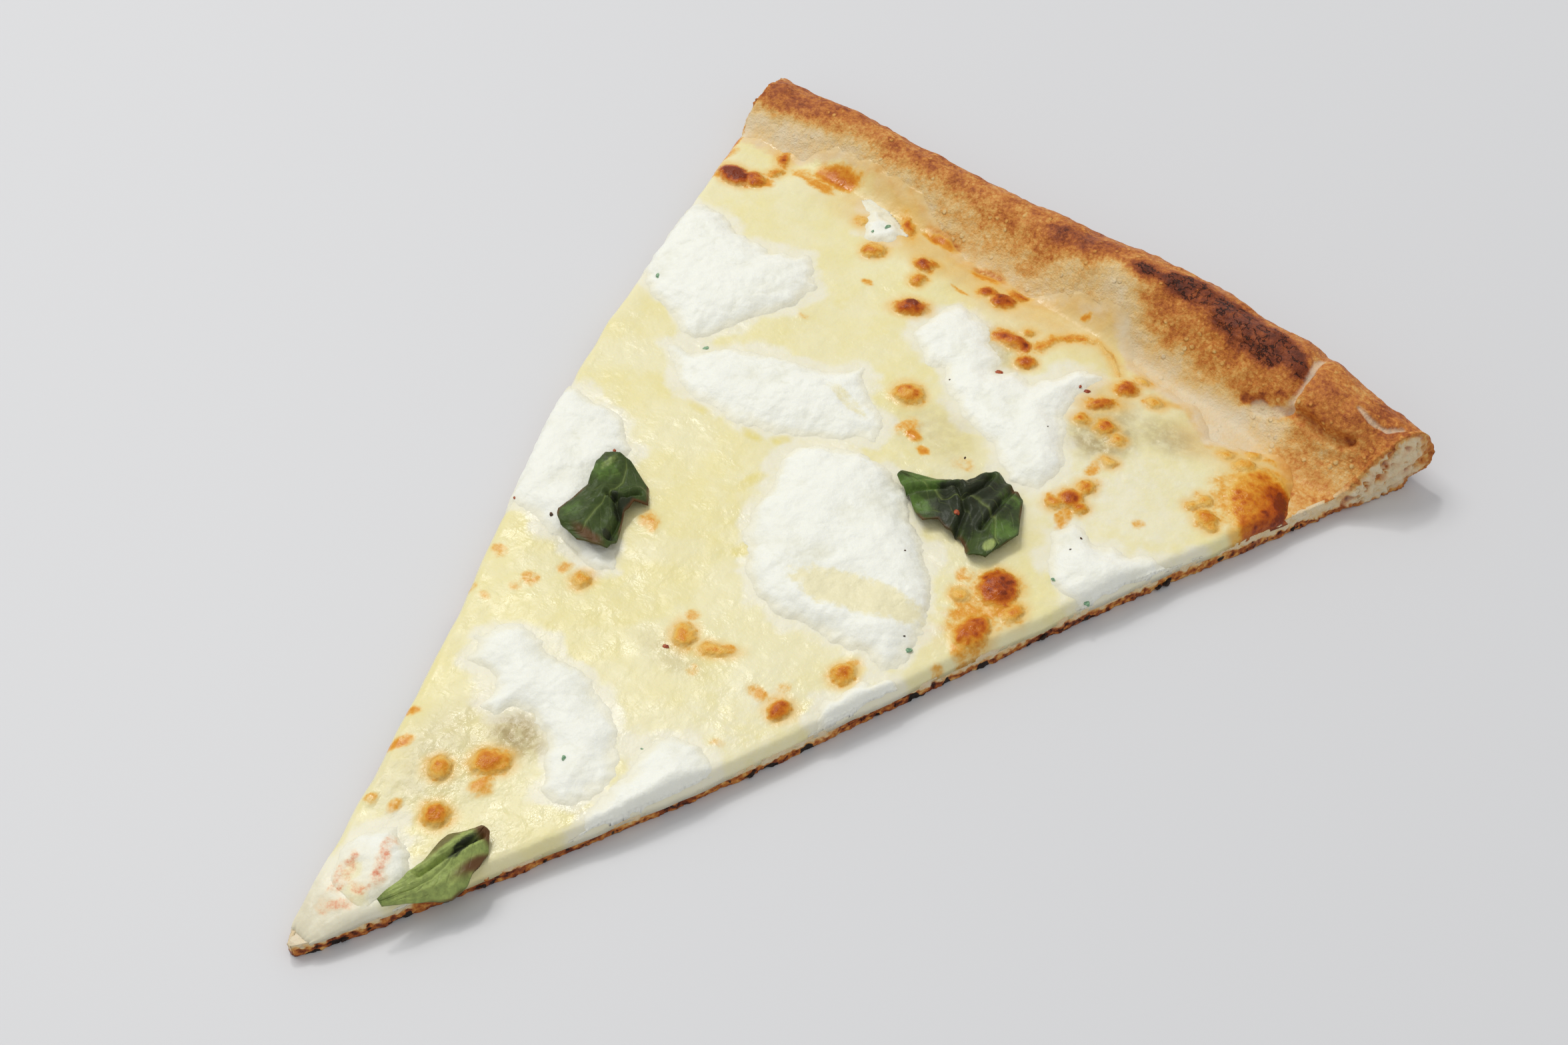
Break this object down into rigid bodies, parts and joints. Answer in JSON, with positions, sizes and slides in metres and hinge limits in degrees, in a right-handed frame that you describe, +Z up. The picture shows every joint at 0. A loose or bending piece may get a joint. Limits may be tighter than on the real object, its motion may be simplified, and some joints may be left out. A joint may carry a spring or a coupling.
{
  "type": "white pizza slice",
  "caption": "Large thin-crust slice of white pizza with melted cheese, ricotta dollops, browned blisters, basil leaves and a puffed rim.",
  "frame": {"origin": "middle of the slice's bounding box, on the surface that it lies on", "axes": "+Z up; -Y towards the slice's tip, +Y towards its baked rim; +X to the right, seen from above with the rim at the top"},
  "size_m": [0.1664, 0.2186, 0.018],
  "materials": {
    "dough": "baked bread, mottled golden to dark brown, matt",
    "cheese": "melted cheese, pale yellow with browned blisters, slightly oily",
    "ricotta": "soft curd, off-white, moist",
    "basil": "wilted leaf, dark green, satin"
  },
  "bodies": {
    "root": {"dough": "dough", "cheese": "cheese", "ricotta_upper_left": "ricotta", "ricotta_middle": "ricotta", "ricotta_left": "ricotta", "ricotta_centre": "ricotta", "ricotta_upper_right": "ricotta", "ricotta_right": "ricotta", "ricotta_crescent": "ricotta", "ricotta_lower_right": "ricotta", "ricotta_right_edge": "ricotta", "ricotta_tip": "ricotta", "ricotta_top_bit": "ricotta", "basil_left": "basil", "basil_right": "basil", "basil_tip": "basil"}
  },
  "joints": []
}
